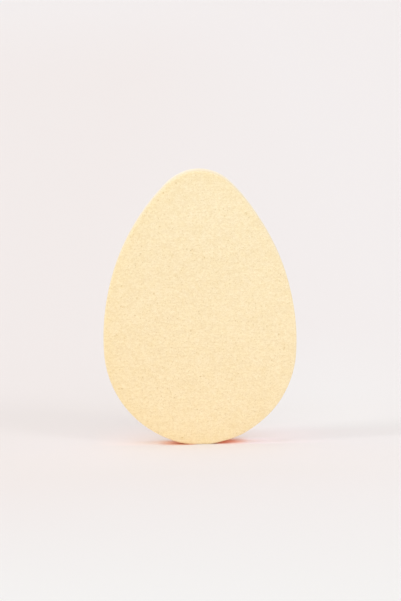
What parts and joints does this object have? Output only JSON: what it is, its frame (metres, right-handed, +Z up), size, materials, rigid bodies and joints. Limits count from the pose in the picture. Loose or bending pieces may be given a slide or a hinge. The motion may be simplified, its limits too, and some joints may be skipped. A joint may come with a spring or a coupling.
{
  "type": "makeup sponge",
  "caption": "Flat egg-shaped makeup sponge: one pale yellow die-cut foam pad with flat faces, standing on its blunt end.",
  "frame": {"origin": "middle of the seat, the small flat under the blunt end that the pad stands on", "axes": "+Z up from the seat to the narrow crown, +X across the width, +Y through the thickness from the front face to the back face"},
  "size_m": [0.0564, 0.01, 0.08],
  "materials": {
    "foam": "matte"
  },
  "bodies": {
    "root": {"foam_pad": "foam"}
  },
  "joints": []
}
